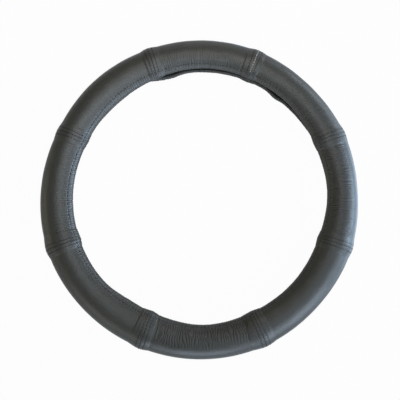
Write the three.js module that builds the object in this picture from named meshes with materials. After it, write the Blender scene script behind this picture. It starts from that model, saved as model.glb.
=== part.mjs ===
// Steering wheel cover: eight sewn leather panels over a springy rubber ring that is open towards
// the hub, so that the cover snaps over the rim of a wheel. Millimetres, +Z up. The cover lies on
// its rear side, with its front, the side that faces the driver, up.
import * as THREE from 'three';
import { mergeVertices } from 'three/addons/utils/BufferGeometryUtils.js';

// The ring and its tube
const ringRadius = 169;
const tubeHalfWidth = 20.5;
const tubeHalfHeight = 18.5;
const restPress = 0.3; // how much of the underside is pressed flat by the surface it lies on

// Layers of the wall, from the outside in
const leather = 1.2;
const rubber = 1.4;
const fit = 0.3; // room between pieces that touch

// Hems: the leather is turned round the lip of the rubber ring and sewn through
const hemWidth = 9;
const hemThickness = leather + fit + rubber + fit + leather;
const hemMiddleShare = 0.55; // where the hem is fullest, from its edge to its stitches
const hemPuff = 0.25;
const turnedInShort = 0.4; // how far the turned-in leather stops short of the stitches
const lipBack = 0.4; // how far the rubber's lip stays back from the fold of the hem
const stitchGroove = 0.35;
const gatherDepth = 0.4;

// Seams: the panel ends are folded under, which raises a band on both sides of the seam.
// Each pair is a distance from the seam and the height of the leather there.
const seamGap = 0.3;
const seamRise = [[0, 0.1], [1.1, 1.15], [10, 0.5], [11.4, 0]];
const topstitchDistance = 4.3;

// Threads
const threadHalfWidth = 0.4;
const threadHeight = 0.45;
const threadClearance = 0.2;
const seamThreadHalfWidth = 0.22;
const seamThreadHeight = 0.55; // above the plain surface, down in the ditch of the seam

// Heights above the ground that each layer keeps on the underside
const bandFloor = 0.5;
const leatherInsideFloor = 1.3;
const rubberOutsideFloor = leatherInsideFloor + fit;
const rubberInsideFloor = rubberOutsideFloor + rubber;
const threadBaseFloor = bandFloor - threadClearance / 2;
const threadTopFloor = 0.02;

// Lines along the leather's outside between the hems, as angles round the tube in degrees:
// 0 is the outermost line, 90 the front, -90 the underside and 180 the side of the hub
const outsideLines = [-100, -80, -55, -30, -5, 20, 45, 70];
const insideLineCount = 5;
// Two more lines cross the folds, at shares of the way from the last line to the front stitches
const creaseLines = [0.35, 0.7];

// Number of divisions along a panel between its seam bands
const plainDivisions = 5;
const gatherDivisions = 24;

// The shape of the tube at the seams and half-way between them, anticlockwise seen from the
// front: how far it swells away from the hub and reaches towards the hub beyond its plain width,
// and how far round the tube the edges of the front hem and the rear hem come
const seams = [
  { angle: 24.5, swell: 0, reach: 1.2, frontHem: 151, rearHem: -133 },
  { angle: 67.8, swell: 1.3, reach: -2.8, frontHem: 149, rearHem: -149 },
  { angle: 109.2, swell: 0.2, reach: 1.1, frontHem: 147, rearHem: -132 },
  { angle: 153.9, swell: -2, reach: 1.6, frontHem: 161, rearHem: -142 },
  { angle: 199.3, swell: 0.9, reach: 1.2, frontHem: 159.5, rearHem: -145 },
  { angle: 248.4, swell: 0.1, reach: 4.4, frontHem: 162, rearHem: -147 },
  { angle: 294.2, swell: 1, reach: 1.1, frontHem: 171.5, rearHem: -148 },
  { angle: 341.4, swell: 0.6, reach: 0.8, frontHem: 170, rearHem: -147 },
];
// Each panel follows the seam of the same number; creases is the depth of its cross folds
const panels = [
  { name: 'panel_upper_right', swell: -0.2, reach: -1.3, frontHem: 147, rearHem: -148, creases: 0 },
  { name: 'panel_top', swell: 1.2, reach: -2.9, frontHem: 147.5, rearHem: -153, creases: 0.35 },
  { name: 'panel_upper_left', swell: -0.3, reach: 2.4, frontHem: 150.5, rearHem: -141, creases: 0 },
  { name: 'panel_left', swell: -0.8, reach: 2.4, frontHem: 153, rearHem: -138, creases: 0.35 },
  { name: 'panel_lower_left', swell: 0.2, reach: 1.9, frontHem: 158.5, rearHem: -145, creases: 0 },
  { name: 'panel_bottom', swell: 0.5, reach: -0.3, frontHem: 172, rearHem: -148, creases: 0.5 },
  { name: 'panel_lower_right', swell: 0, reach: 0.7, frontHem: 171, rearHem: -147, creases: 0 },
  { name: 'panel_right', swell: -1, reach: -1.6, frontHem: 163, rearHem: -145, creases: 0.25 },
];
// Places where a lip sags towards the hub, the rear lip (side -1) or the front lip (side 1):
// angle round the ring, depth and half-width
const sags = [
  { side: -1, angle: 103.5, depth: 4.6, spread: 5.5 },
  { side: -1, angle: 53.5, depth: 2.4, spread: 3.5 },
  { side: 1, angle: 235, depth: 2.2, spread: 9 },
];
const sagStart = 95; // angle round the tube, from the outermost line, where a sag begins

const materials = {
  leather: new THREE.MeshStandardMaterial({ color: 0x3a3a39, roughness: 0.5, metalness: 0 }),
  rubber: new THREE.MeshStandardMaterial({ color: 0x151515, roughness: 0.85, metalness: 0 }),
  thread: new THREE.MeshStandardMaterial({ color: 0x242526, roughness: 0.8, metalness: 0 }),
};

const { degToRad, clamp } = THREE.MathUtils;
const degreesPerMillimetre = 180 / Math.PI / ((tubeHalfWidth + tubeHalfHeight) / 2);
const tubeCentreHeight = tubeHalfHeight - restPress;
const turn = 360;
const weldDistance = 1e-4;

// Seams and panel middles in order round the ring, as the points of one smooth closed curve
const stations = seams.flatMap((seam, i) => {
  const next = seams[(i + 1) % seams.length].angle + (i + 1 === seams.length ? turn : 0);
  return [seam, { ...panels[i], angle: (seam.angle + next) / 2 }];
});

function smooth(before, from, to, after, t) {
  const slopeFrom = (to - before) / 2;
  const slopeTo = (after - from) / 2;
  const bend = 3 * (to - from) - 2 * slopeFrom - slopeTo;
  const twist = slopeFrom + slopeTo - 2 * (to - from);
  return from + t * (slopeFrom + t * (bend + t * twist));
}

// The tube's shape values at any angle round the ring, in degrees
function shapeAt(angle) {
  const first = stations[0].angle;
  const a = first + THREE.MathUtils.euclideanModulo(angle - first, turn);
  const count = stations.length;
  let i = count - 1;
  while (stations[i].angle > a) i -= 1;
  const end = i + 1 < count ? stations[i + 1].angle : first + turn;
  const t = (a - stations[i].angle) / (end - stations[i].angle);
  const near = [i - 1, i, i + 1, i + 2].map((k) => stations[(k + count) % count]);
  const value = (key) => smooth(near[0][key], near[1][key], near[2][key], near[3][key], t);
  return {
    swell: value('swell'),
    reach: value('reach'),
    frontHem: value('frontHem'),
    rearHem: value('rearHem'),
  };
}

// How far a lip sags towards the hub at an angle round the ring and round the tube
function sagAt(angle, around, shape) {
  return sags.reduce((sum, sag) => {
    const edge = sag.side > 0 ? shape.frontHem : -shape.rearHem;
    const share = clamp((sag.side * around - sagStart) / (edge - sagStart), 0, 1);
    const offset = (angle - sag.angle) / sag.spread;
    return sum + sag.depth * Math.exp(-offset * offset) * share * share;
  }, 0);
}

// A point at an angle round the ring, an angle round the tube and a height above the surface
function tubePoint(angle, around, height, floor) {
  const shape = shapeAt(angle);
  const turnAround = degToRad(around);
  const cos = Math.cos(turnAround);
  const sin = Math.sin(turnAround);
  const halfWidth = tubeHalfWidth + (cos > 0 ? shape.swell : shape.reach);
  const normal = new THREE.Vector2(cos / halfWidth, sin / tubeHalfHeight).normalize();
  const sag = sagAt(angle, around, shape);
  const radius = ringRadius + halfWidth * cos + normal.x * height - sag;
  const z = tubeCentreHeight + tubeHalfHeight * sin + normal.y * height;
  const a = degToRad(angle);
  const point = new THREE.Vector3(radius * Math.cos(a), radius * Math.sin(a), Math.max(z, floor));
  point.section = new THREE.Vector2(radius, point.z);
  point.along = angle;
  return point;
}

// Height of the leather at a distance from the nearest seam
function riseAt(distance) {
  const last = seamRise.length - 1;
  if (distance >= seamRise[last][0]) return 0;
  const i = seamRise.findIndex(([limit]) => limit > distance);
  const [from, low] = seamRise[i - 1];
  const [to, high] = seamRise[i];
  return low + ((distance - from) / (to - from)) * (high - low);
}

const millimetreAngle = 360 / (2 * Math.PI * ringRadius); // one millimetre along the ring
const bandEnd = seamRise[seamRise.length - 1][0];

// The columns of points along a panel: each has an angle, a distance to the nearest seam and
// whether it is the valley of a gather
function columnsOf(panel, nearSeam, divisions) {
  const length = (panel.end - panel.start) / millimetreAngle;
  const middle = length - 2 * bandEnd;
  const inner = Array.from({ length: divisions - 1 }, (_, i) => ({
    along: bandEnd + (middle * (i + 1)) / divisions,
    valley: i % 2 === 0,
  }));
  const before = nearSeam.map((along) => ({ along, valley: false }));
  const after = nearSeam.map((along) => ({ along: length - along, valley: false })).reverse();
  return [...before, ...inner, ...after].map(({ along, valley }) => ({
    angle: panel.start + along * millimetreAngle,
    distance: Math.min(along, length - along),
    valley,
  }));
}

const seamDistances = seamRise.map(([distance]) => distance);

// Joins two neighbouring lines of points that run the same way with triangles. Where both lines
// have a point at the same place, the shorter diagonal is taken, so that the layers of the wall
// fold alike.
function joinLines(a, startA, b, startB, triangles) {
  const same = 1e-6;
  let i = 0;
  let j = 0;
  while (i < a.length - 1 || j < b.length - 1) {
    const nextA = i < a.length - 1 ? a[i + 1].along : Infinity;
    const nextB = j < b.length - 1 ? b[j + 1].along : Infinity;
    const level = Math.abs(nextA - nextB) < same;
    const shorterA = level && a[i + 1].distanceTo(b[j]) < b[j + 1].distanceTo(a[i]);
    if (shorterA || (!level && nextA < nextB)) {
      triangles.push(startA + i, startA + i + 1, startB + j);
      i += 1;
    } else {
      triangles.push(startA + i, startB + j + 1, startB + j);
      j += 1;
    }
  }
}

// A closed body whose lines of points run along it and go round its section. Its ends are closed
// with faces given by the numbers of their lines; a ring has none.
function bodyFrom(lines, startFaces = [], endFaces = startFaces) {
  const vertices = [];
  const triangles = [];
  const starts = [];
  lines.forEach((line) => {
    starts.push(vertices.length / 3);
    line.forEach((p) => vertices.push(p.x, p.y, p.z));
  });
  lines.forEach((line, i) => {
    const next = (i + 1) % lines.length;
    joinLines(line, starts[i], lines[next], starts[next], triangles);
  });
  const last = (i) => starts[i] + lines[i].length - 1;
  startFaces.forEach(([a, b, c]) => triangles.push(starts[a], starts[b], starts[c]));
  endFaces.forEach(([a, b, c]) => triangles.push(last(a), last(c), last(b)));
  const geometry = new THREE.BufferGeometry();
  geometry.setAttribute('position', new THREE.Float32BufferAttribute(vertices, 3));
  geometry.setIndex(triangles);
  return geometry;
}

function meshOf(name, geometry, material) {
  const merged = mergeVertices(geometry, weldDistance);
  merged.computeVertexNormals();
  const mesh = new THREE.Mesh(merged, material);
  mesh.name = name;
  return mesh;
}

// Angles round the tube of the hem's parts, for the front hem (side 1) or the rear hem (side -1)
function hemAngles(angle, side) {
  const shape = shapeAt(angle);
  const edge = side > 0 ? shape.frontHem : shape.rearHem;
  const back = (distance) => edge - side * distance * degreesPerMillimetre;
  return {
    edge,
    roll: back(hemThickness / 2),
    middle: back(hemWidth * hemMiddleShare),
    stitch: back(hemWidth),
    leg: back(hemWidth - turnedInShort),
  };
}

const bandRise = (column) => riseAt(column.distance);
const outsideFloor = (column) => (bandRise(column) > 0 ? bandFloor : 0);

// The lines of points that go round the section of a panel, from the rear hem over the outside
// to the front hem, round it and back along the inside
function panelLines(panel) {
  const plain = columnsOf(panel, seamDistances, plainDivisions);
  const fine = columnsOf(panel, seamDistances, gatherDivisions);
  const hidden = columnsOf(panel, [0, bandEnd], plainDivisions);

  const outside = (columns, aroundAt, heightAt) => columns.map((column) => {
    const height = heightAt(column) + bandRise(column);
    return tubePoint(column.angle, aroundAt(column), height, outsideFloor(column));
  });
  const inside = (aroundAt, depth, floor) => hidden.map((column) => (
    tubePoint(column.angle, aroundAt(column), -depth, floor)
  ));
  const hem = (side, part) => (column) => hemAngles(column.angle, side)[part];
  const gather = (depth) => (column) => (column.valley ? -depth : 0);

  const roundHem = (columns, side) => [
    outside(columns, hem(side, 'stitch'), () => -stitchGroove),
    outside(columns, hem(side, 'middle'), (column) => hemPuff + gather(gatherDepth)(column)),
    outside(columns, (column) => {
      const { edge, roll } = hemAngles(column.angle, side);
      return roll + (edge - roll) * Math.SQRT1_2;
    }, (column) => (Math.SQRT1_2 - 1) * (hemThickness / 2) + gather(gatherDepth)(column)),
    outside(columns, hem(side, 'edge'), () => -hemThickness / 2),
  ];
  const insideHem = (side) => [
    inside(hem(side, 'roll'), hemThickness, 0),
    inside(hem(side, 'leg'), hemThickness, 0),
    inside(hem(side, 'leg'), hemThickness - leather, 0),
    inside(hem(side, 'roll'), hemThickness - leather, 0),
    inside(hem(side, 'roll'), leather, 0),
    inside(hem(side, 'leg'), leather, leatherInsideFloor),
  ];

  const creaseLine = (share) => outside(
    panel.creases > 0 ? fine : plain,
    (column) => {
      const last = outsideLines[outsideLines.length - 1];
      return last + share * (hemAngles(column.angle, 1).stitch - last);
    },
    (column) => (column.valley ? -panel.creases : 0),
  );
  return [
    ...roundHem(plain, -1).reverse(),
    ...outsideLines.map((around) => outside(plain, () => around, () => 0)),
    ...creaseLines.map(creaseLine),
    ...roundHem(fine, 1),
    ...insideHem(1),
    ...insideLines(hidden, leather, leatherInsideFloor).reverse(),
    ...insideHem(-1).reverse(),
  ];
}

// Lines along the inside of the wall between the two hems, from the rear to the front
function insideLines(columns, depth, floor) {
  return Array.from({ length: insideLineCount }, (_, i) => {
    const share = (i + 1) / (insideLineCount + 1);
    return columns.map((column) => {
      const from = hemAngles(column.angle, -1).leg;
      const to = hemAngles(column.angle, 1).leg;
      return tubePoint(column.angle, from + share * (to - from), -depth, floor);
    });
  });
}

function panelBody(panel) {
  const lines = panelLines(panel);
  const facesOf = (sections) => THREE.ShapeUtils.triangulateShape(sections, []);
  const startFaces = facesOf(lines.map((line) => line[0].section));
  const endFaces = facesOf(lines.map((line) => line[line.length - 1].section));
  return meshOf(panel.name, bodyFrom(lines, startFaces, endFaces), materials.leather);
}

// Columns all round the ring, each panel's in turn without its last, closed by repeating the
// first. A body that passes over the seams skips the column at the seam too.
function ringColumns(nearSeam, firstKept) {
  const all = panels.flatMap((panel) => (
    columnsOf(panel, nearSeam, plainDivisions).slice(firstKept, -1)
  ));
  return [...all, { ...all[0], angle: all[0].angle + turn }];
}

function innerRing() {
  const columns = ringColumns([0, bandEnd], 0);
  const line = (side, part, depth, floor) => columns.map((column) => {
    const around = hemAngles(column.angle, side)[part];
    const shift = part === 'roll' ? side * lipBack * degreesPerMillimetre : 0;
    return tubePoint(column.angle, around - shift, -depth, floor);
  });
  const outer = leather + fit;
  const inner = outer + rubber;
  const lines = [
    line(-1, 'roll', outer, 0),
    line(-1, 'leg', outer, rubberOutsideFloor),
    ...insideLines(columns, outer, rubberOutsideFloor),
    line(1, 'leg', outer, 0),
    line(1, 'roll', outer, 0),
    line(1, 'roll', inner, 0),
    line(1, 'leg', inner, 0),
    ...insideLines(columns, inner, rubberInsideFloor).reverse(),
    line(-1, 'leg', inner, 0),
    line(-1, 'roll', inner, 0),
  ];
  return meshOf('inner_ring', bodyFrom(lines), materials.rubber);
}

// A thread that runs round the tube from the rear hem's stitches to the front hem's, at a
// distance along the ring from a seam
function crossThread(name, seam, distance, halfWidth, baseHeight) {
  const angle = seam.angle + distance * millimetreAngle;
  const clear = (threadHalfWidth + 2 * threadClearance) * degreesPerMillimetre;
  const from = hemAngles(angle, -1).stitch + clear;
  const to = hemAngles(angle, 1).stitch - clear;
  const last = outsideLines[outsideLines.length - 1];
  const between = creaseLines.map((share) => last + share * (to - last));
  const arounds = [from, ...outsideLines, ...between, to];
  const strand = (offset, height, floor) => arounds.map((around, i) => {
    const point = tubePoint(angle + offset * millimetreAngle, around, baseHeight + height, floor);
    point.along = i;
    return point;
  });
  const lines = [
    strand(halfWidth, 0, threadBaseFloor),
    strand(0, threadHeight, threadTopFloor),
    strand(-halfWidth, 0, threadBaseFloor),
  ];
  return meshOf(name, bodyFrom(lines, [[0, 1, 2]]), materials.thread);
}

// The thread that sews a hem, all round the ring
function hemThread(name, side) {
  const columns = ringColumns(seamDistances, 1);
  const line = (offset, height) => columns.map((column) => {
    const around = hemAngles(column.angle, side).stitch + offset * degreesPerMillimetre;
    return tubePoint(column.angle, around, height - stitchGroove + bandRise(column), 0);
  });
  const lines = [
    line(-threadHalfWidth, threadClearance),
    line(0, threadClearance + threadHeight),
    line(threadHalfWidth, threadClearance),
  ];
  return meshOf(name, bodyFrom(lines), materials.thread);
}

// The ring's middle is moved so that the origin is at the middle of the cover's outline
const cover = new THREE.Group();
panels.forEach((panel, i) => {
  const nextSeam = seams[(i + 1) % seams.length].angle + (i + 1 === seams.length ? turn : 0);
  panel.start = seams[i].angle + (seamGap / 2) * millimetreAngle;
  panel.end = nextSeam - (seamGap / 2) * millimetreAngle;
});
panels.forEach((panel) => {
  cover.add(panelBody(panel));
});
cover.add(innerRing());
seams.forEach((seam, i) => {
  const number = i + 1;
  const base = riseAt(topstitchDistance) + threadClearance;
  cover.add(crossThread(`seam_thread_${number}`, seam, 0, seamThreadHalfWidth, seamThreadHeight));
  cover.add(crossThread(`topstitch_${number}_before`, seam, -topstitchDistance, threadHalfWidth, base));
  cover.add(crossThread(`topstitch_${number}_after`, seam, topstitchDistance, threadHalfWidth, base));
});
cover.add(hemThread('hem_thread_front', 1));
cover.add(hemThread('hem_thread_rear', -1));

const outline = new THREE.Box3().setFromObject(cover);
const middle = outline.getCenter(new THREE.Vector3());
cover.position.set(-middle.x, -middle.y, 0);

export default cover;
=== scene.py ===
# Steering wheel cover, lying with its front up: eight leather panels with folded and topstitched
# seams, hems gathered by their stitches, single stitches of thread, and the ribbed rubber ring.
import math

import bpy
import numpy as np
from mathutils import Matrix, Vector


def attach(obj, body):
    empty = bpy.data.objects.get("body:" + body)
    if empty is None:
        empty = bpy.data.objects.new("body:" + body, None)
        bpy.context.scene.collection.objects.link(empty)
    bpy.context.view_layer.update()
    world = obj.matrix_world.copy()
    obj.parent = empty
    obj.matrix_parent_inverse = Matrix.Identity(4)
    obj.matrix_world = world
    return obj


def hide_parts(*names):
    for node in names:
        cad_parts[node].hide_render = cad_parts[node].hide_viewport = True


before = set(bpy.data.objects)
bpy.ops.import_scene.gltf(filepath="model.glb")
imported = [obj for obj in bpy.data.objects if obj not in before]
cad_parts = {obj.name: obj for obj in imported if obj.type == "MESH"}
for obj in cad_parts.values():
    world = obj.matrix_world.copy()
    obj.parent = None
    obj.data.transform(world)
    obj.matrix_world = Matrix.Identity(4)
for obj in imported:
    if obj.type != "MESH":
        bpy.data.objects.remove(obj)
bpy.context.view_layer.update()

# Measures are in millimetres and angles in degrees, as in the solids, and a mesh turns them into
# metres when it is made.
METRE = 0.001
TURN = 360.0

# The ring and its tube, and how far the tube is pressed flat where it rests
RING_RADIUS = 169.0
RING_CENTRE = (0.173, -0.37)
TUBE_HALF_WIDTH = 20.5
TUBE_HALF_HEIGHT = 18.5
REST_PRESS = 0.3

# Degrees for a millimetre of leather, round the tube and along the ring
DEGREES_PER_MM = 180 / math.pi / ((TUBE_HALF_WIDTH + TUBE_HALF_HEIGHT) / 2)
MM_ANGLE = TURN / (2 * math.pi * RING_RADIUS)

# Layers of the wall, from the outside in, and the hem that is folded round them
LEATHER = 1.2
RUBBER = 1.4
FIT = 0.3
HEM_WIDTH = 9.0
HEM_LEG = 8.6
HEM_THICKNESS = 2 * LEATHER + RUBBER + 2 * FIT
HEM_ROLL = HEM_THICKNESS / 2

# The shape of the tube at each seam and at the middle of the panel after it: angle round the
# ring, swell away from the hub, reach towards it, and the edges of the front and rear hem
SEAMS = [
    (24.5, 0.3, 1.2, 151, -133),
    (67.8, 1.5, -2.8, 149, -149),
    (109.2, 0.5, 1.1, 147, -132),
    (153.9, -1.8, 1.6, 161, -142),
    (199.3, 0.9, 1.2, 159.5, -145),
    (248.4, 0.1, 4.4, 162, -147),
    (294.2, 1, 1.1, 171.5, -148),
    (341.4, 0.6, 0.8, 170, -147),
]
MIDDLES = [
    (0, -1.3, 147, -148),
    (1.4, -2.9, 147.5, -153),
    (0, 2.4, 150.5, -141),
    (-0.6, 2.4, 153, -138),
    (0.2, 1.9, 158.5, -145),
    (0.5, -0.3, 172, -148),
    (0, 0.7, 171, -147),
    (-1, -1.6, 163, -145),
]

# Places where a lip sags towards the hub, the rear lip (-1) or the front lip (1): side, angle
# round the ring, depth and half-width
SAGS = [(-1, 103.5, 4.6, 5.5), (-1, 53.5, 2.4, 3.5), (1, 235, 2.2, 9)]
# The angle round the tube where a sag starts, and how far it grows past the edge of the hem
SAG_START = 95.0
SAG_MOST = 1.2

# How far the folded allowance of each seam reaches along the ring, before and after the seam
BANDS = [(10.4, 9.7), (8.6, 10.2), (10, 8.2), (10, 10), (13.9, 9), (12.5, 9.3), (13.4, 11.3),
         (9.7, 10)]
# Height of the folded allowance at each seam
PEAKS = [1.3, 1.5, 1.6, 1.1, 1.8, 1.8, 1.7, 1.4]

# How far each seam is pulled along the ring, near its outer end and near the hem
PULLS = [(0.3, 2.8), (0.8, 0.8), (0, 0), (1.2, -1.9), (-0.4, -1.5), (-1.1, -2.1), (0.8, 0.6),
         (0.3, 0.3)]
# The angles round the tube between which the pull changes from one to the other, and how far it
# is felt along the ring, in degrees
PULL_FROM = 20.0
PULL_TO = 150.0
PULL_REACH = 12.0

# How each panel is creased: name, pitch of its cross folds, their depth, and the angle round the
# tube where they begin
CREASES = [
    ("upper_right", 2.2, 0.25, 30),
    ("top", 2.3, 0.25, 34),
    ("upper_left", 2.2, 0.1, 70),
    ("left", 2.4, 0.2, 60),
    ("lower_left", 2.2, 0.13, 80),
    ("bottom", 3.1, 0.42, 50),
    ("lower_right", 2.4, 0.04, 60),
    ("right", 2.4, 0.45, 30),
]

# The gap between two panels, and the spacing of the stitches and of the hem's gathers
PANEL_GAP = 0.06
SEAM_PITCH = 3.0
HEM_PITCH = 4.9
TOPSTITCH_DISTANCE = 4.2
GATHER_PITCH = 2.9

# The seam whose middle thread is painted pale: a painted highlight that stands for the light
# glinting on its stitches
PAINTED_GLINT_SEAM = 2


# Shape of the ring


def stations():
    """Angles and shape values of seams and panel middles, in order round one turn."""
    rows = []
    for i, seam in enumerate(SEAMS):
        following = SEAMS[(i + 1) % len(SEAMS)][0] + (TURN if i + 1 == len(SEAMS) else 0)
        rows.append(seam)
        rows.append(((seam[0] + following) / 2, *MIDDLES[i]))
    return np.array(rows, float)


STATIONS = stations()


def shape_at(angle):
    """Swell, reach, front hem and rear hem at angles round the ring, on smooth curves."""
    first = STATIONS[0, 0]
    a = first + np.mod(angle - first, TURN)
    starts = STATIONS[:, 0]
    ends = np.append(starts[1:], first + TURN)
    i = np.searchsorted(starts, a, side="right") - 1
    t = ((a - starts[i]) / (ends[i] - starts[i]))[..., None]
    count = len(STATIONS)
    values = STATIONS[:, 1:]
    before, start, end, after = (values[(i + k) % count] for k in (-1, 0, 1, 2))
    slope_start = (end - before) / 2
    slope_end = (after - start) / 2
    bend = 3 * (end - start) - 2 * slope_start - slope_end
    twist = slope_start + slope_end - 2 * (end - start)
    result = start + t * (slope_start + t * (bend + t * twist))
    return np.moveaxis(result, -1, 0)


def offset_from(angle, place):
    """Angle from a place on the ring, the short way round."""
    return (angle - place + TURN / 2) % TURN - TURN / 2


def sag_at(angle, around, front, rear):
    """How far a lip sags towards the hub."""
    total = 0
    for side, place, depth, spread in SAGS:
        edge = front if side > 0 else -rear
        share = np.clip((side * around - SAG_START) / (edge - SAG_START), 0, SAG_MOST) ** 2
        total = total + depth * np.exp(-(((angle - place) / spread) ** 2)) * share
    return total


def pull_at(angle, around):
    """How far the leather is pulled along the ring beside a seam, in degrees."""
    share = np.clip((around - PULL_FROM) / (PULL_TO - PULL_FROM), 0, 1)
    total = 0
    for seam, (outer, inner) in zip(SEAMS, PULLS):
        offset = offset_from(angle, seam[0])
        pull = outer + (inner - outer) * share
        total = total + pull * np.exp(-((offset / PULL_REACH) ** 2))
    return total * MM_ANGLE


def tube_points(angle, around, height, floor=0.0):
    """Points in metres at angles round the ring and the tube, at a height above the plain tube.
    No point lies below the floor."""
    angle = angle + pull_at(angle, around)
    swell, reach, front, rear = shape_at(angle)
    cos = np.cos(np.radians(around))
    sin = np.sin(np.radians(around))
    half_width = TUBE_HALF_WIDTH + np.where(cos > 0, swell, reach)
    across = cos / half_width
    up = sin / TUBE_HALF_HEIGHT
    length = np.hypot(across, up)
    sag = sag_at(angle, around, front, rear)
    radius = RING_RADIUS + half_width * cos + across / length * height - sag
    z = TUBE_HALF_HEIGHT * (1 + sin) - REST_PRESS + up / length * height
    x = radius * np.cos(np.radians(angle)) + RING_CENTRE[0]
    y = radius * np.sin(np.radians(angle)) + RING_CENTRE[1]
    return np.stack([x, y, np.maximum(z, floor)], axis=-1) * METRE


def smoothstep(low, high, value):
    t = np.clip((value - low) / (high - low), 0, 1)
    return t * t * (3 - 2 * t)


def bell(value, width):
    return np.exp(-((value / width) ** 2))


# Relief of the leather

# The folded band beside a seam: height of its foot, the share of it that is left on the outer
# side of the tube, the angles round the tube between which it grows to the whole, how much the
# band lies flatter on top and over how many degrees, and how its slope is curved
TENT_FOOT = 0.36
OUTER_FOOT_SHARE = 0.4
FOOT_FROM = 38
FOOT_TO = 75
TOP_FLATTENING = 0.4
TOP_SPREAD = 45
TENT_CURVE = 1.5
# The ridge at the edge of the band: share of the foot's height, how far inside the band it lies,
# its width, and where the band fades before and after its edge
RIDGE_SHARE = 0.2
RIDGE_INSET = 0.9
RIDGE_WIDTH = 0.8
FADE_BEFORE = 0.5
FADE_AFTER = 1.4

# The ditch along a seam, which ends near the edge of the hem, and the grooves of the topstitching
DITCH_DEPTH = 0.22
DITCH_WIDTH = 0.65
DITCH_END = 3
TOPSTITCH_DEPTH = 0.16
TOPSTITCH_WIDTH = 0.65
# How far the leather rises between two stitches and how sharply, how its puckers slant, how much
# painted shade a groove gets, and how high the leather swells between two rows of stitches
BETWEEN_RISE = 0.9
BETWEEN_CURVE = 1.5
PUCKER_SLANT = 0.35
GROOVE_SHADE = 0.7
PILLOW_HEIGHT = 0.04

# The groove of the hem's stitches with its painted shade, and how much shallower and lighter it is
# between two stitches
HEM_GROOVE_WIDTH = 0.6
HEM_GROOVE_DEPTH = 0.25
HEM_GROOVE_RISE = 0.1
HEM_GROOVE_SHADE = 0.7
HEM_GROOVE_LIGHT = 0.5
# How high the hem swells between its stitches and its edge
HEM_PUFF = 0.25
# Depth of the gathers on the hem, what is left of it at the hem's edge, how far from the edge
# that changes, their depth on the leather past the stitches and how far they run there
HEM_GATHERS = 0.24
EDGE_GATHERS = 0.08
EDGE_FADE = 2
BODY_GATHERS = 0.3
GATHER_REACH = 3.0
# How much painted shade the gathers get, and the share of it on the hem
GATHER_SHADE = 0.35
HEM_GATHER_SHADE = 0.8
# How the gathers vary: spacing, half-width and depth
GATHER_JITTER = 0.35
GATHER_WIDTHS = (0.42, 0.75)
GATHER_DEPTHS = (0.4, 1.0)

# The lines of the cross folds: how far they bend as a share of their pitch, and their width
FOLD_BEND = 0.9
FOLD_WIDTH = 0.22
# Their depth as a share of the panel's: the least, and what is added at random
FOLD_LEAST = 0.45
FOLD_VARIATION = 0.6
# How far round the tube their beginnings scatter, and how long they take to reach full depth
BEGIN_SCATTER = 12
BEGIN_SPAN = 45
# Lengths over which the folds' bend, strength and beginning change, along the ring and round the
# tube, and the part of a random table that each is read from
BEND_LENGTHS = (7, 8)
BEND_PART = (7, 7)
STRENGTH_LENGTH = 6
STRENGTH_PART = (9, 9)
BEGIN_LENGTHS = (8, 12)
BEGIN_PART = (30, 20)
# Where the folds start beside a seam, where they are whole, and how far they stay off the hem
FOLD_FREE_FROM = 8
FOLD_FREE_TO = 14
FOLD_HEM_FADE = 3
# How much painted shade a fold gets for its depth, and at most
FOLD_SHADE = 2
FOLD_SHADE_MOST = 0.5

# Slow waves of the leather: height, and how fast they change along the ring and round the tube
WAVE_HEIGHT = 0.1
WAVE_ALONG = 0.23
WAVE_ROUND = 2.3

# Random tables and the seed of the first panel
FIRST_SEED = 100
FOLD_TABLE = (256, 64)
BEND_TABLE = (64, 64)


def seam_tent(distance, peak, band, around):
    """Height of the folded band beside a seam, without its stitching. It lies flatter on top."""
    turned = np.abs(around)
    outer_share = OUTER_FOOT_SHARE + (1 - OUTER_FOOT_SHARE) * smoothstep(FOOT_FROM, FOOT_TO, turned)
    foot = TENT_FOOT * outer_share
    peak = peak * (1 - TOP_FLATTENING * bell(turned - 90, TOP_SPREAD))
    tent = peak + (foot - peak) * np.minimum(distance / band, 1) ** TENT_CURVE
    ridge = RIDGE_SHARE * foot * bell(distance - band + RIDGE_INSET, RIDGE_WIDTH)
    return (tent + ridge) * (1 - smoothstep(band - FADE_BEFORE, band + FADE_AFTER, distance))


def between_stitches(distance, pitch):
    """0 in the middle of each stitch, rising to 1 between two stitches."""
    return ((1 - np.cos(2 * np.pi * distance / pitch)) / 2) ** BETWEEN_CURVE


def spaced(rng, length, pitch, jitter):
    """Places along a length at about a pitch, at random."""
    count = max(int(round(length / pitch)), 1)
    steps = 1 + jitter * rng.uniform(-1, 1, count + 1)
    return np.cumsum(steps)[:-1] / steps.sum() * length


def value_noise(table, u, v):
    """Smooth noise between the random values of a table."""
    rows, columns = table.shape
    u0 = np.floor(u).astype(int)
    v0 = np.floor(v).astype(int)
    fu = smoothstep(0, 1, u - u0)
    fv = smoothstep(0, 1, v - v0)

    def pick(i, k):
        return table[(u0 + i) % rows, (v0 + k) % columns]

    low = pick(0, 0) * (1 - fu) + pick(1, 0) * fu
    high = pick(0, 1) * (1 - fu) + pick(1, 1) * fu
    return low * (1 - fv) + high * fv


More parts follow.
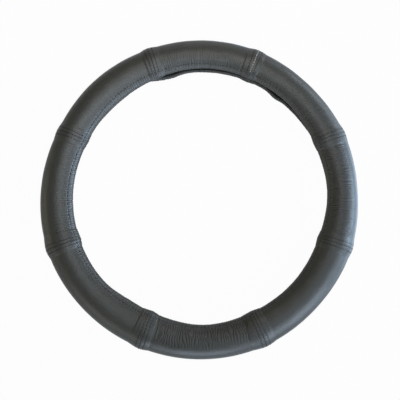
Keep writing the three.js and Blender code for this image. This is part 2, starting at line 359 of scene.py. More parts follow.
class Panel:
    """One leather panel: its place round the ring and the relief of its outside."""

    def __init__(self, number):
        self.number = number
        self.name, self.pitch, self.crease_depth, self.crease_start = CREASES[number]
        following = SEAMS[(number + 1) % len(SEAMS)][0]
        if number + 1 == len(SEAMS):
            following += TURN
        self.start = SEAMS[number][0] + PANEL_GAP / 2 * MM_ANGLE
        self.end = following - PANEL_GAP / 2 * MM_ANGLE
        self.length = (self.end - self.start) / MM_ANGLE
        self.start_band = BANDS[number][1]
        self.end_band = BANDS[(number + 1) % len(BANDS)][0]
        self.start_peak = PEAKS[number]
        self.end_peak = PEAKS[(number + 1) % len(PEAKS)]
        rng = np.random.default_rng(FIRST_SEED + number)
        self.fold_table = rng.uniform(0, 1, FOLD_TABLE)
        self.bend_table = rng.uniform(-1, 1, BEND_TABLE)
        self.gathers = {1: self.random_gathers(rng), -1: self.random_gathers(rng)}

    def random_gathers(self, rng):
        """Place, half-width and depth of each gather along one hem."""
        places = spaced(rng, self.length, GATHER_PITCH, GATHER_JITTER)
        return [(p, rng.uniform(*GATHER_WIDTHS), rng.uniform(*GATHER_DEPTHS)) for p in places]

    def crease(self, along, around):
        """Depth of the cross folds: narrow valleys that run across the panel, bend and fade."""
        way = around / DEGREES_PER_MM
        bend = value_noise(self.bend_table, along / BEND_LENGTHS[0] + BEND_PART[0],
                           way / BEND_LENGTHS[1] + BEND_PART[1])
        place = along / self.pitch + FOLD_BEND * bend
        cell = np.floor(place)
        strength = value_noise(self.fold_table, cell + STRENGTH_PART[0],
                               way / STRENGTH_LENGTH + STRENGTH_PART[1])
        valley = bell(place - cell - 0.5, FOLD_WIDTH)
        fade = value_noise(self.bend_table, along / BEGIN_LENGTHS[0] + BEGIN_PART[0],
                           way / BEGIN_LENGTHS[1] + BEGIN_PART[1])
        begin = self.crease_start + BEGIN_SCATTER * fade
        depth = self.crease_depth * (FOLD_LEAST + FOLD_VARIATION * strength)
        return depth * valley * smoothstep(begin, begin + BEGIN_SPAN, around)

    def gather(self, along, side):
        """0 to about 1 in the small folds that the hem's thread draws together."""
        total = np.zeros_like(along)
        for place, width, depth in self.gathers[side]:
            total = total + depth * bell(along - place, width)
        return total

    def seam_band(self, along, around):
        """Height of the folded band of the nearer seam."""
        back = self.length - along
        return np.where(along < back,
                        seam_tent(along, self.start_peak, self.start_band, around),
                        seam_tent(back, self.end_peak, self.end_band, around))

    def seam_stitching(self, along, around, from_edge):
        """Height and shade of the ditch along the nearer seam and of the topstitching beside it.
        The leather is pressed down under each stitch and rises between two."""
        back = self.length - along
        distance = np.minimum(along, back)
        way = around / DEGREES_PER_MM
        puckers = between_stitches(way + PUCKER_SLANT * np.sign(back - along) * distance, SEAM_PITCH)
        ditch = bell(distance, DITCH_WIDTH) * smoothstep(0, DITCH_END, from_edge)
        ditch = ditch * (1 - BETWEEN_RISE * puckers)
        from_row = distance - TOPSTITCH_DISTANCE
        rises = between_stitches(way + PUCKER_SLANT * from_row, SEAM_PITCH)
        groove = bell(from_row, TOPSTITCH_WIDTH) * (1 - BETWEEN_RISE * rises)
        pillow = np.sin(np.pi * np.clip(distance / TOPSTITCH_DISTANCE, 0, 2)) ** 2
        height = PILLOW_HEIGHT * pillow - DITCH_DEPTH * ditch - TOPSTITCH_DEPTH * groove
        return height, GROOVE_SHADE * np.maximum(ditch, groove)

    def hem_stitching(self, angle, along, from_edge, side):
        """Height and shade of the hem, its stitches and the gathers on both sides of them."""
        stitched = from_edge - HEM_WIDTH
        past = stitched > 0
        rises = between_stitches(angle / MM_ANGLE, HEM_PITCH)
        groove = bell(stitched, HEM_GROOVE_WIDTH)
        reach = np.exp(-np.clip(stitched, 0, None) / GATHER_REACH)
        on_hem = HEM_GATHERS * smoothstep(0, EDGE_FADE, from_edge) + EDGE_GATHERS
        gathers = self.gather(along, side)
        puff = HEM_PUFF * np.sin(np.pi * np.clip(from_edge / HEM_WIDTH, 0, 1))
        height = (puff - groove * (HEM_GROOVE_DEPTH - HEM_GROOVE_RISE * rises)
                  - np.where(past, BODY_GATHERS * reach, on_hem) * gathers)
        groove_shade = groove * (HEM_GROOVE_SHADE - HEM_GROOVE_LIGHT * rises)
        gather_shade = GATHER_SHADE * gathers * np.where(past, reach ** 2, HEM_GATHER_SHADE)
        return height, np.maximum(groove_shade, gather_shade)

    def cross_folds(self, along, around, from_edge):
        """Depth and shade of the cross folds, which stay off the seam bands and the hem."""
        distance = np.minimum(along, self.length - along)
        off_band = smoothstep(FOLD_FREE_FROM, FOLD_FREE_TO, distance)
        off_hem = smoothstep(0, FOLD_HEM_FADE, from_edge - HEM_WIDTH)
        folds = self.crease(along, around) * off_band * off_hem
        return folds, np.minimum(FOLD_SHADE * folds, FOLD_SHADE_MOST)

    def relief(self, angle, around, edge, side):
        """Height of the outside above the plain tube, and the painted shade in its grooves, gathers
        and folds.
        """
        along = (angle - self.start) / MM_ANGLE
        from_edge = side * (edge - around) / DEGREES_PER_MM
        seam_height, seam_shade = self.seam_stitching(along, around, from_edge)
        hem_height, hem_shade = self.hem_stitching(angle, along, from_edge, side)
        height = self.seam_band(along, around) + seam_height + hem_height
        shade = np.maximum(seam_shade, hem_shade)
        if side > 0:
            folds, fold_shade = self.cross_folds(along, around, from_edge)
            height = height - folds
            shade = np.maximum(shade, fold_shade)
        waves = np.sin(along * WAVE_ALONG + self.number) * np.sin(np.radians(around) * WAVE_ROUND)
        return height + WAVE_HEIGHT * waves, np.clip(shade, 0, 1)


# Meshes


def lay_out(mesh, places):
    """A UV map from the place of each point along and across the leather."""
    layer = mesh.uv_layers.new(name="along_across")
    corners = np.empty(len(mesh.loops), int)
    mesh.loops.foreach_get("vertex_index", corners)
    layer.data.foreach_set("uv", places[corners].astype(np.float32).ravel())


def mesh_piece(name, points, faces, material, replaced, shade=None, places=None):
    """A smooth mesh that rides on the cover and stands for one of its solids."""
    mesh = bpy.data.meshes.new(name)
    mesh.from_pydata(points.tolist(), [], faces)
    mesh.update()
    mesh.polygons.foreach_set("use_smooth", [True] * len(mesh.polygons))
    if shade is not None:
        # Painted shade: the shade of grooves, gathers and folds, kept in the crease attribute that
        # darkens the leather's colour
        layer = mesh.attributes.new("crease", "FLOAT", "POINT")
        layer.data.foreach_set("value", shade.astype(np.float32))
    if places is not None:
        lay_out(mesh, places)
    mesh.materials.append(material)
    piece = bpy.data.objects.new(name, mesh)
    bpy.context.scene.collection.objects.link(piece)
    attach(piece, "root")
    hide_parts(replaced)
    return piece


def grid_faces(rows, columns, wrap_rows, wrap_columns):
    """Quads of a grid of points numbered row by row."""
    faces = []
    for r in range(rows if wrap_rows else rows - 1):
        below = (r + 1) % rows
        for c in range(columns if wrap_columns else columns - 1):
            right = (c + 1) % columns
            faces.append((r * columns + c, r * columns + right,
                          below * columns + right, below * columns + c))
    return faces


# The columns of a panel's mesh: close together at the seam, wider apart to the end of the seam's
# zone, and at their full step between the zones
SEAM_ZONE = 12
CLOSE_ZONE = 2
CLOSE_STEP = 0.25
ZONE_STEP = 0.4
COLUMN_STEP = 0.45

# The rows of a panel's mesh: over the zone of a hem, between the two zones, on the inside between
# the two hems, round the fold of a hem, and back from that fold to the end of its leg
HEM_ZONE = 12
HEM_ROWS = 20
OUTSIDE_ROWS = 58
INSIDE_ROWS = 16
ROLL_TURNS = (22, 44, 66, 90, 114, 136, 158)
LEG_STEPS = (HEM_ROLL, 4.5, HEM_LEG)

# How far the gathers notch the edge of a hem
SCALLOP = 0.3
# The inside of the leather stays this far above the ground
INSIDE_FLOOR = REST_PRESS + 0.9


def panel_columns(panel):
    """Angles along a panel, close together beside the seams and wider apart between them."""
    near = np.concatenate([np.arange(0, CLOSE_ZONE, CLOSE_STEP),
                           np.arange(CLOSE_ZONE, SEAM_ZONE, ZONE_STEP)])
    middle_count = int((panel.length - 2 * SEAM_ZONE) / COLUMN_STEP)
    middle = np.linspace(SEAM_ZONE, panel.length - SEAM_ZONE, middle_count)
    along = np.concatenate([near, middle, panel.length - near[::-1]])
    return panel.start + along * MM_ANGLE


class Skin:
    """Rows of points round a panel's section, with their crease shading and their places on the
    leather. The front side is 1 and the rear side is -1."""

    def __init__(self, panel):
        self.panel = panel
        self.angle = panel_columns(panel)
        _, _, front, rear = shape_at(self.angle)
        self.edges = {1: front, -1: rear}
        self.points = []
        self.shades = []
        self.places = []
        self.add_outside()
        self.add_inside()

    def add(self, around, height, shade=None, floor=0.0):
        """One row at angles round the tube, at a height above the plain tube."""
        self.points.append(tube_points(self.angle, around, height, floor))
        self.shades.append(np.zeros_like(self.angle) if shade is None else shade)
        place = np.stack([self.angle / MM_ANGLE, around / DEGREES_PER_MM], axis=-1)
        self.places.append(place * METRE)

    def back_from_edge(self, side, back):
        """Angles round the tube at a distance from the edge of a hem."""
        return self.edges[side] - side * back * DEGREES_PER_MM

    def outside(self, around, side):
        """One row of the outside."""
        height, shade = self.panel.relief(self.angle, around, self.edges[side], side)
        self.add(around, height, shade)

    def inside(self, side, back, depth):
        """One row inside, at a distance from the edge of a hem and a depth in the wall."""
        self.add(self.back_from_edge(side, back), np.full_like(self.angle, -depth))

    def roll(self, side, turn):
        """One row round the fold of a hem, from the outside (0 degrees) to the inside (180)."""
        start = self.back_from_edge(side, HEM_ROLL)
        height, shade = self.panel.relief(self.angle, start, self.edges[side], side)
        out = math.cos(math.radians(turn))
        over = math.sin(math.radians(turn))
        fade = (1 + out) / 2
        gathers = self.panel.gather((self.angle - self.panel.start) / MM_ANGLE, side)
        radius = HEM_ROLL + height * fade - SCALLOP * gathers * over
        around = start + side * radius * over * DEGREES_PER_MM
        self.add(around, radius * out - HEM_ROLL, shade * fade)

    def add_outside(self):
        """The outside, from the rear hem round the outer side of the tube to the front hem."""
        hem_steps = np.linspace(HEM_ROLL, HEM_ZONE, HEM_ROWS)
        rear_start = self.back_from_edge(-1, HEM_ZONE)
        front_start = self.back_from_edge(1, HEM_ZONE)
        for back in hem_steps:
            self.outside(self.back_from_edge(-1, back), -1)
        for share in np.linspace(0, 1, OUTSIDE_ROWS)[1:-1]:
            around = rear_start + share * (front_start - rear_start)
            self.outside(around, 1 if share > 0.5 else -1)
        for back in hem_steps[::-1]:
            self.outside(self.back_from_edge(1, back), 1)

    def add_inside(self):
        """The fold and leg of the front hem, the back of the leather, and the rear leg and fold."""
        for turn in ROLL_TURNS:
            self.roll(1, turn)
        for back in LEG_STEPS:
            self.inside(1, back, HEM_THICKNESS)
        for back in LEG_STEPS[::-1]:
            self.inside(1, back, HEM_THICKNESS - LEATHER)
        self.inside(1, HEM_ROLL, LEATHER)
        front = self.edges[1]
        rear = self.edges[-1]
        for share in np.linspace(0, 1, INSIDE_ROWS)[1:-1]:
            around = front + share * (rear - front) - (1 - 2 * share) * HEM_LEG * DEGREES_PER_MM
            self.add(around, np.full_like(self.angle, -LEATHER), None, INSIDE_FLOOR)
        self.inside(-1, HEM_ROLL, LEATHER)
        for back in LEG_STEPS:
            self.inside(-1, back, HEM_THICKNESS - LEATHER)
        for back in LEG_STEPS[::-1]:
            self.inside(-1, back, HEM_THICKNESS)
        for turn in ROLL_TURNS[::-1]:
            self.roll(-1, turn)


def leather_panel(panel, material):
    """The closed skin of one panel."""
    skin = Skin(panel)
    points = np.array(skin.points)
    shades = np.array(skin.shades)
    places = np.array(skin.places)
    rows, columns = points.shape[:2]
    faces = grid_faces(rows, columns, True, False)
    faces.append([r * columns for r in range(rows)])
    faces.append([r * columns + columns - 1 for r in reversed(range(rows))])
    mesh_piece("leather_" + panel.name, points.reshape(-1, 3), faces, material,
               "panel_" + panel.name, shades.reshape(-1), places.reshape(-1, 2))


# Stitches

# Sides of the thread, its radius across the seams and along the hems, and the share of it that
# is left at the ends of a stitch
STITCH_SIDES = 6
SEAM_THREAD_RADIUS = 0.48
HEM_THREAD_RADIUS = 0.42
STITCH_TIP = 0.55
# How far the stitches are sunk into the leather
SEAM_STITCH_DEPTH = 0.22
HEM_STITCH_DEPTH = 0.4
# The band that the hem's stitches climb over at each seam: least distance, height and width
HEM_BAND_START = 1.5
HEM_BAND_PEAK = 1.4
HEM_BAND = 10.0
# A floor below everything, for points that no floor may hold up
NO_FLOOR = -9
# How far the stitches of a seam stay from those of the hem
HEM_CLEARANCE = 1

# A stitch rises out of one hole and goes down into the next: shares of its length and heights
STITCH_PROFILE = ((-0.36, -0.7), (-0.29, -0.15), (-0.15, 0.02), (0.0, 0.05),
                  (0.15, 0.02), (0.29, -0.15), (0.36, -0.7))
STITCH_SHARES = [share for share, _ in STITCH_PROFILE]
STITCH_RISES = np.array([rise for _, rise in STITCH_PROFILE])


def stitch_tube(path, out, radius):
    """Points and faces of one stitch: a bent strand of thread with pointed ends."""
    points = []
    steps = len(path)
    for i, centre in enumerate(path):
        way = path[min(i + 1, steps - 1)] - path[max(i - 1, 0)]
        way = way / np.linalg.norm(way)
        side = np.cross(way, out)
        side = side / np.linalg.norm(side)
        up = np.cross(side, way)
        thick = radius * (STITCH_TIP if i in (0, steps - 1) else 1.0)
        for k in range(STITCH_SIDES):
            a = 2 * math.pi * k / STITCH_SIDES
            points.append(centre + thick * (math.cos(a) * side + math.sin(a) * up))
    faces = grid_faces(steps, STITCH_SIDES, False, True)
    faces = [tuple(reversed(f)) for f in faces]
    faces.append(tuple(range(STITCH_SIDES)))
    faces.append(tuple(reversed(range((steps - 1) * STITCH_SIDES, steps * STITCH_SIDES))))
    return points, faces


def join_stitches(name, stitches, material, replaced):
    """One piece of all the stitches of a row."""
    points = []
    faces = []
    for stitch_points, stitch_faces in stitches:
        base = len(points)
        points.extend(stitch_points)
        faces.extend(tuple(base + v for v in face) for face in stitch_faces)
    mesh_piece(name, np.array(points), faces, material, replaced)


def outward(angle, around):
    """Unit vector that stands on the tube."""
    low = tube_points(np.array([angle]), np.array([around]), np.array([0.0]), NO_FLOOR)[0]
    high = tube_points(np.array([angle]), np.array([around]), np.array([1.0]), NO_FLOOR)[0]
    return (high - low) / np.linalg.norm(high - low)


def cross_stitches(name, number, distance, material, replaced):
    """Stitches that run round the tube at a distance from a seam, sunk into the leather."""
    seam = SEAMS[number]
    band = BANDS[number][0 if distance < 0 else 1]
    angle = seam[0] + distance * MM_ANGLE
    _, _, front, rear = (v.item() for v in shape_at(np.array([angle])))
    first = (rear / DEGREES_PER_MM + HEM_WIDTH + HEM_CLEARANCE) / SEAM_PITCH
    last = (front / DEGREES_PER_MM - HEM_WIDTH - HEM_CLEARANCE) / SEAM_PITCH
    stitches = []
    for k in range(math.ceil(first), math.floor(last) + 1):
        centre = k * SEAM_PITCH
        around = np.array([centre + share * SEAM_PITCH for share in STITCH_SHARES]) * DEGREES_PER_MM
        lift = seam_tent(abs(distance), PEAKS[number], band, around)
        heights = lift - SEAM_STITCH_DEPTH + STITCH_RISES
        path = tube_points(np.full_like(around, angle), around, heights, SEAM_THREAD_RADIUS)
        out = outward(angle, centre * DEGREES_PER_MM)
        stitches.append(stitch_tube(path, out, SEAM_THREAD_RADIUS * METRE))
    join_stitches(name, stitches, material, replaced)


def hem_stitches(name, side, material, replaced):
    """Stitches that run all round the ring along a hem."""
    stitches = []
    for k in range(int(TURN / MM_ANGLE / HEM_PITCH)):
        centre = k * HEM_PITCH
        angle = np.array([(centre + share * HEM_PITCH) * MM_ANGLE for share in STITCH_SHARES])
        edge = shape_at(angle)[2 if side > 0 else 3]
        around = edge - side * HEM_WIDTH * DEGREES_PER_MM
        distance = np.min([np.abs(offset_from(angle, seam[0])) for seam in SEAMS], axis=0)
        on_band = np.maximum(distance / MM_ANGLE, HEM_BAND_START)
        lift = seam_tent(on_band, HEM_BAND_PEAK, HEM_BAND, around)
        heights = lift - HEM_STITCH_DEPTH + STITCH_RISES
        path = tube_points(angle, around, heights, HEM_THREAD_RADIUS)
        middle = len(angle) // 2
        out = outward(angle[middle], around[middle])
        stitches.append(stitch_tube(path, out, HEM_THREAD_RADIUS * METRE))
    join_stitches(name, stitches, material, replaced)


# The rubber ring inside

# Points round the ring, rows on its outside, and rows on its inside, three for each rib
RUBBER_COLUMNS = 360
RUBBER_OUTER_ROWS = 40
RUBBER_INNER_ROWS = 121
# How far the rubber stays off the fold of the hem
RUBBER_HEM_GAP = 0.4
# How far the outside and the inside of the rubber stay above the ground
RUBBER_OUTER_FLOOR = 1.6
RUBBER_INNER_FLOOR = 3.0
# The grip ribs, and the share of the section at each lip that has none
RIB_HEIGHT = 0.35
RIB_COUNT = 40
RIB_FREE = 0.12


def rubber_ring(material):
    """A C-shaped ring with fine grip ribs that run round its inside."""
    angle = np.linspace(0, TURN, RUBBER_COLUMNS + 1)[:-1]
    _, _, front, rear = shape_at(angle)
    back = (HEM_ROLL + RUBBER_HEM_GAP) * DEGREES_PER_MM
    low = rear + back
    high = front - back
    outer = LEATHER + FIT
    points = []
    for share in np.linspace(0, 1, RUBBER_OUTER_ROWS):
        around = low + share * (high - low)
        depth = np.full_like(angle, -outer)
        points.append(tube_points(angle, around, depth, RUBBER_OUTER_FLOOR))
    for share in np.linspace(1, 0, RUBBER_INNER_ROWS):
        around = low + share * (high - low)
        ribbed = RIB_FREE < share < 1 - RIB_FREE
        rib = RIB_HEIGHT * (1 + math.cos(share * 2 * math.pi * RIB_COUNT)) / 2 if ribbed else 0
        depth = np.full_like(angle, -outer - RUBBER - rib)
        points.append(tube_points(angle, around, depth, RUBBER_INNER_FLOOR))
    points = np.array(points)
    rows, columns = points.shape[:2]
    faces = grid_faces(rows, columns, True, True)
    mesh_piece("rubber_ring", points.reshape(-1, 3), faces, material, "inner_ring")


# Materials

# Colours as they look on screen, from 0 to 255. Leather: its tones, the grain between the pebbles
# and the painted shade of its creases, grooves and gathers. Thread and rubber: their darkest and
# lightest tone.
LEATHER_DARK = (53, 54, 51)
LEATHER_LIGHT = (61, 62, 59)
LEATHER_GRAIN = (48, 49, 46)
LEATHER_PAINTED_SHADE = (14, 14, 14)
THREAD_TONES = ((14, 15, 16), (30, 31, 33))
# Painted highlight: pale tones for the middle thread of one seam, standing in for the light glinting
# on it
PAINTED_GLINT_THREAD_TONES = ((140, 138, 132), (168, 166, 160))
RUBBER_TONES = ((18, 18, 18), (32, 32, 31))

# The pebbles of the grain: how far they are warped, and how far they are rounded
PEBBLE_WARP = 0.0012
PEBBLE_ROUNDING = 0.35
# How the wrinkles are stretched, along the ring and round the tube
WRINKLE_STRETCH = (1, 0.22, 1)
# Roughness of the leather, from pore to pore
LEATHER_ROUGHNESS = (0.36, 0.46)


def new_material(name):
    """A material, its node tree and its shader."""
    material = bpy.data.materials.new(name)
    material.use_nodes = True
    tree = material.node_tree
    return material, tree, tree.nodes["Principled BSDF"]


def add_node(tree, kind, inputs=(), **settings):
    """A node with settings, its inputs given as (socket, value or output) pairs."""
    node = tree.nodes.new(kind)
    for key, value in settings.items():
        setattr(node, key, value)
    for socket, value in inputs:
        if isinstance(value, bpy.types.NodeSocket):
            tree.links.new(value, node.inputs[socket])
        else:
            node.inputs[socket].default_value = value
    return node


def noise(tree, place, scale, detail, roughness=0.5, distortion=0.0):
    """A noise texture."""
    inputs = [("Vector", place), ("Scale", scale), ("Detail", detail),
              ("Roughness", roughness), ("Distortion", distortion)]
    return add_node(tree, "ShaderNodeTexNoise", inputs)


def blend(tree, share, first, second, kind="MIX"):
    """A colour between two others."""
    inputs = [("Fac", share), ("Color1", first), ("Color2", second)]
    return add_node(tree, "ShaderNodeMixRGB", inputs, blend_type=kind).outputs["Color"]


def bump(tree, height, strength, depth, below=None):
    """A normal bent by a height that is so deep in millimetres, on top of the normal below."""
    inputs = [("Strength", strength), ("Distance", depth * METRE), ("Height", height)]
    if below is not None:
        inputs.append(("Normal", below))
    return add_node(tree, "ShaderNodeBump", inputs).outputs["Normal"]


def object_place(tree):
    """The place of a point on the object, in metres."""
    return add_node(tree, "ShaderNodeTexCoord").outputs["Object"]


def screen_colour(red, green, blue):
    """A colour written as it looks on screen, from 0 to 255, as scene linear values."""
    def linear(v):
        v = v / 255
        return v / 12.92 if v <= 0.04045 else ((v + 0.055) / 1.055) ** 2.4
    return (linear(red), linear(green), linear(blue), 1)


def leather_pebbles(tree, place):
    """Rounded pebbles of the grain, a little warped."""
    warp = noise(tree, place, scale=420.0, detail=2.0)
    bent = blend(tree, PEBBLE_WARP, place, warp.outputs["Color"], "ADD")
    cells = add_node(tree, "ShaderNodeTexVoronoi", [("Vector", bent), ("Scale", 750.0)],
                     feature="DISTANCE_TO_EDGE")
    rounded = add_node(tree, "ShaderNodeMapRange",
                       [("Value", cells.outputs["Distance"]), ("From Max", PEBBLE_ROUNDING)],
                       interpolation_type="SMOOTHSTEP")
    return rounded.outputs["Result"]


def leather_wrinkles(tree):
    """Fine wrinkles, stretched round the tube."""
    flat = add_node(tree, "ShaderNodeUVMap", uv_map="along_across").outputs["UV"]
    stretched = add_node(tree, "ShaderNodeMapping", [("Vector", flat), ("Scale", WRINKLE_STRETCH)])
    wrinkles = noise(tree, stretched.outputs["Vector"], scale=560.0, detail=3.0, roughness=0.55,
                     distortion=0.2)
    return wrinkles.outputs["Fac"]


def leather_colour(tree, place, pebbles):
    """Slow changes of tone, darker between the pebbles, and painted shade, darkest in the creases,
    grooves and gathers.
    """
    tone = noise(tree, place, scale=22.0, detail=3.0).outputs["Fac"]
    plain = blend(tree, tone, screen_colour(*LEATHER_DARK), screen_colour(*LEATHER_LIGHT))
    grained = blend(tree, pebbles, screen_colour(*LEATHER_GRAIN), plain)
    # Painted shade: the crease attribute darkens the colour where shade falls in folds, ditches,
    # grooves and gathers
    crease = add_node(tree, "ShaderNodeAttribute", attribute_name="crease").outputs["Fac"]
    return blend(tree, crease, grained, screen_colour(*LEATHER_PAINTED_SHADE))


def leather_material():
    """Grained leather: soft folds, fine wrinkles, pebbles, pores and painted shade in the creases.
    """
    material, tree, shader = new_material("leather")
    place = object_place(tree)
    pebbles = leather_pebbles(tree, place)
    pores = noise(tree, place, scale=3200.0, detail=3.0).outputs["Fac"]
    folds = noise(tree, place, scale=150.0, detail=3.0, distortion=0.6).outputs["Fac"]
    tree.links.new(leather_colour(tree, place, pebbles), shader.inputs["Base Color"])
    rough = add_node(tree, "ShaderNodeMapRange", [("Value", pores),
                                                  ("To Min", LEATHER_ROUGHNESS[0]),
                                                  ("To Max", LEATHER_ROUGHNESS[1])])
    tree.links.new(rough.outputs["Result"], shader.inputs["Roughness"])
    shader.inputs["Specular IOR Level"].default_value = 0.62
    shader.inputs["Sheen Weight"].default_value = 0.3
    shader.inputs["Sheen Roughness"].default_value = 0.35
    normal = bump(tree, folds, strength=0.05, depth=0.8)
    normal = bump(tree, leather_wrinkles(tree), strength=0.16, depth=0.6, below=normal)
    normal = bump(tree, pebbles, strength=0.15, depth=0.1, below=normal)
    normal = bump(tree, pores, strength=0.3, depth=0.05, below=normal)
    tree.links.new(normal, shader.inputs["Normal"])
    return material


def two_tone_material(name, tones, scale, detail, strength, depth, roughness):
    """A rough material of two tones, whose surface follows the same noise."""
    dark, light = tones
    material, tree, shader = new_material(name)
    fibres = noise(tree, object_place(tree), scale, detail).outputs["Fac"]
    colour = blend(tree, fibres, screen_colour(*dark), screen_colour(*light))
    tree.links.new(colour, shader.inputs["Base Color"])
    tree.links.new(bump(tree, fibres, strength, depth), shader.inputs["Normal"])
    shader.inputs["Roughness"].default_value = roughness
    return material


def thread_material(name, tones):
    """Twisted thread."""
    return two_tone_material(name, tones, scale=5200.0, detail=2.0, strength=0.5, depth=0.08,
                             roughness=0.75)


def rubber_material():
    """Matt black rubber with a little dust in its skin."""
    return two_tone_material("rubber", RUBBER_TONES, scale=700.0, detail=4.0, strength=0.3,
                             depth=0.1, roughness=0.8)


# Camera, light and floor. Places and sizes of the lamps and of the floor are in metres.

# The photo: millimetres to a pixel, its side and the middle of the ring in pixels
PIXEL_MM = 1.19
PHOTO_SIZE = 400
RING_PIXEL = (199.4, 198.5)
# The camera: its distance in metres, how steeply it looks down, the height that it aims at in
# millimetres and the width of its sensor
CAMERA_DISTANCE = 1.4
CAMERA_ELEVATION = 85.0
MIDDLE_HEIGHT = 18.2
SENSOR_MM = 36.0

# Colours of the light: through the window, from the sky in it, and inside the room
WINDOW_BLUE = (0.55, 0.75, 1.0)
SKY_BLUE = (0.7, 0.83, 1.0)
PALE_BLUE = (0.87, 0.93, 1.0)
ROOM_WHITE = (1.0, 0.98, 0.9)
ROOM_YELLOW = (1.0, 0.95, 0.65)
WORLD_WARM = (1.0, 0.9, 0.75, 1)
WORLD_STRENGTH = 0.2
WHITE = (1, 1, 1, 1)

# Large soft lamps that face the cover: name, azimuth, elevation, watts and colour
LAMP_SIZE = 1.0
LAMP_DISTANCE = 2.0
LAMPS = [
    ("window", 0, 3, 45, WINDOW_BLUE),
    ("window_above", 45, 3, 13, PALE_BLUE),
    ("window_high", 0, 30, 13, SKY_BLUE),
    ("corner", -45, 16, 16, SKY_BLUE),
    ("corner_high", -45, 35, 9, SKY_BLUE),
    ("front", -90, 8, 17, SKY_BLUE),
    ("left_front", -135, 16, 4, ROOM_WHITE),
    ("left", 180, 3, 4.5, ROOM_YELLOW),
    ("back", 90, 3, 3, ROOM_WHITE),
]

# Weak soft lamps above: name, place in x and y, lean in x and y, watts and colour
CEILING_SIZE = 0.5
CEILING_SPREAD = 60
CEILING_HEIGHT = 0.755
CEILING_UP = 0.906
CEILING_LAMPS = [
    ("ceiling_front", (0.09, -0.15), (0.21, -0.37), 0.15, PALE_BLUE),
    ("ceiling_middle", (0.03, 0.12), (0.21, -0.10), 0.2, PALE_BLUE),
    ("ceiling_back", (0.04, 0.5), (0.04, 0.42), 0.2, ROOM_WHITE),
]

# The light thrown back by the floor: width and length of its strip, place and watts
BOUNCE_SIZE = (0.08, 0.5)
BOUNCE_PLACE = (0.24, 0, 0.003)
BOUNCE_POWER = 0.4

# The floor: half its side, how far it lies below the cover, its colour, and how much it glows to
# the camera and in reflections
FLOOR_HALF = 4.0
FLOOR_DROP = 0.0002
FLOOR_GREY = (0.5, 0.5, 0.5, 1)
CAMERA_GLOW = 0.97
GLOSS_GLOW = 0.1


def make_camera():
    """Looks down on the cover, a little from the side of the bottom panel."""
    data = bpy.data.cameras.new("camera")
    data.sensor_width = SENSOR_MM
    data.lens = SENSOR_MM * CAMERA_DISTANCE / (PHOTO_SIZE * PIXEL_MM * METRE)
    camera = bpy.data.objects.new("camera", data)
    bpy.context.scene.collection.objects.link(camera)
    tilt = math.radians(90 - CAMERA_ELEVATION)
    camera.rotation_euler = (tilt, 0, 0)
    half = PHOTO_SIZE / 2
    target_x = RING_CENTRE[0] + (half - RING_PIXEL[0]) * PIXEL_MM
    target_y = RING_CENTRE[1] + (RING_PIXEL[1] - half) * PIXEL_MM
    camera.location = (
        target_x * METRE,
        target_y * METRE - CAMERA_DISTANCE * math.sin(tilt),
        MIDDLE_HEIGHT * METRE + CAMERA_DISTANCE * math.cos(tilt),
    )
    bpy.context.scene.camera = camera


def new_lamp(name, shape, size, power, colour):
    """An area lamp that the camera doesn't see."""
    data = bpy.data.lights.new(name, "AREA")
    data.shape = shape
    data.size = size
    data.energy = power
    data.color = colour
    lamp = bpy.data.objects.new(name, data)
    bpy.context.scene.collection.objects.link(lamp)
    lamp.visible_camera = False
    return lamp


def area_light(name, azimuth, elevation, power, colour):
    """A large soft light at a direction from the middle of the cover, facing it."""
    lamp = new_lamp(name, "SQUARE", LAMP_SIZE, power, colour)
    a = math.radians(azimuth)
    e = math.radians(elevation)
    lamp.location = (LAMP_DISTANCE * math.cos(e) * math.cos(a),
                     LAMP_DISTANCE * math.cos(e) * math.sin(a),
                     LAMP_DISTANCE * math.sin(e))
    lamp.rotation_euler = (math.radians(90) - e, 0, a + math.radians(90))


def ceiling_light(name, place, lean, power, colour):
    """A weak soft lamp above, at x and y, turned by a lean in x and y towards one panel."""
    lamp = new_lamp(name, "DISK", CEILING_SIZE, power, colour)
    lamp.data.spread = math.radians(CEILING_SPREAD)
    lamp.location = (*place, CEILING_HEIGHT)
    way = Vector((*lean, CEILING_UP))
    lamp.rotation_euler = way.to_track_quat("Z", "Y").to_euler()


def bounce_card():
    """The light that the floor beside the window's side of the cover throws back up."""
    lamp = new_lamp("bounce", "RECTANGLE", BOUNCE_SIZE[0], BOUNCE_POWER, WINDOW_BLUE)
    lamp.data.size_y = BOUNCE_SIZE[1]
    lamp.location = BOUNCE_PLACE
    lamp.rotation_euler = (math.pi, 0, 0)


def make_lights():
    for lamp in LAMPS:
        area_light(*lamp)
    for lamp in CEILING_LAMPS:
        ceiling_light(*lamp)
    bounce_card()


def make_world():
    """White to the camera, a weak warm light to everything else."""
    world = bpy.data.worlds.new("world")
    bpy.context.scene.world = world
    world.use_nodes = True
    tree = world.node_tree
    tree.nodes.clear()
    rays = add_node(tree, "ShaderNodeLightPath")
    soft = add_node(tree, "ShaderNodeBackground", [("Color", WORLD_WARM),
                                                   ("Strength", WORLD_STRENGTH)])
    white = add_node(tree, "ShaderNodeBackground", [("Color", WHITE), ("Strength", 1.0)])
    mix = add_node(tree, "ShaderNodeMixShader", [(0, rays.outputs["Is Camera Ray"]),
                                                 (1, soft.outputs[0]), (2, white.outputs[0])])
    out = add_node(tree, "ShaderNodeOutputWorld")
    tree.links.new(mix.outputs[0], out.inputs["Surface"])


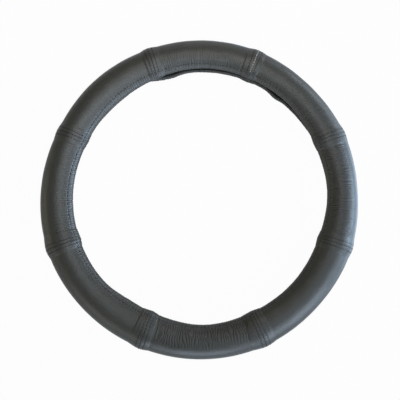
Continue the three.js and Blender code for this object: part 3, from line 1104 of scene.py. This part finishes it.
def floor_material():
    """Grey that takes the cover's shadow, under a white glow to the camera."""
    material, tree, shader = new_material("floor")
    shader.inputs["Base Color"].default_value = FLOOR_GREY
    shader.inputs["Roughness"].default_value = 1.0
    shader.inputs["Specular IOR Level"].default_value = 0.0
    glow = add_node(tree, "ShaderNodeEmission", [("Color", WHITE), ("Strength", 1.0)])
    rays = add_node(tree, "ShaderNodeLightPath")
    gloss = add_node(tree, "ShaderNodeMath", [(0, rays.outputs["Is Glossy Ray"]), (1, GLOSS_GLOW)],
                     operation="MULTIPLY")
    share = add_node(tree, "ShaderNodeMath", [(0, rays.outputs["Is Camera Ray"]),
                                              (1, CAMERA_GLOW), (2, gloss.outputs[0])],
                     operation="MULTIPLY_ADD")
    mix = add_node(tree, "ShaderNodeMixShader", [(0, share.outputs[0]),
                                                 (1, shader.outputs[0]), (2, glow.outputs[0])])
    tree.links.new(mix.outputs[0], tree.nodes["Material Output"].inputs["Surface"])
    return material


def make_floor():
    """A white floor that still takes the cover's shadow."""
    mesh = bpy.data.meshes.new("floor")
    corners = [(-FLOOR_HALF, -FLOOR_HALF, 0), (FLOOR_HALF, -FLOOR_HALF, 0),
               (FLOOR_HALF, FLOOR_HALF, 0), (-FLOOR_HALF, FLOOR_HALF, 0)]
    mesh.from_pydata(corners, [], [(0, 1, 2, 3)])
    floor = bpy.data.objects.new("floor", mesh)
    floor.location.z = -FLOOR_DROP
    bpy.context.scene.collection.objects.link(floor)
    mesh.materials.append(floor_material())


# The cover on its floor


def make_threads():
    """The stitches of the eight seams and of the two hems."""
    thread = thread_material("thread", THREAD_TONES)
    painted_glint_thread = thread_material("painted_glint_thread", PAINTED_GLINT_THREAD_TONES)
    for i in range(len(SEAMS)):
        number = i + 1
        # The middle thread of one seam is painted pale, a painted highlight of the glint on its
        # stitches
        middle_thread = painted_glint_thread if number == PAINTED_GLINT_SEAM else thread
        cross_stitches(f"seam_stitches_{number}", i, 0, middle_thread, f"seam_thread_{number}")
        for side, word in ((-1, "before"), (1, "after")):
            cross_stitches(f"topstitches_{number}_{word}", i, side * TOPSTITCH_DISTANCE, thread,
                           f"topstitch_{number}_{word}")
    hem_stitches("hem_stitches_front", 1, thread, "hem_thread_front")
    hem_stitches("hem_stitches_rear", -1, thread, "hem_thread_rear")


def main():
    bpy.context.scene.view_settings.view_transform = "Standard"
    make_camera()
    make_world()
    make_floor()
    make_lights()
    leather = leather_material()
    for number in range(len(SEAMS)):
        leather_panel(Panel(number), leather)
    make_threads()
    rubber_ring(rubber_material())


main()
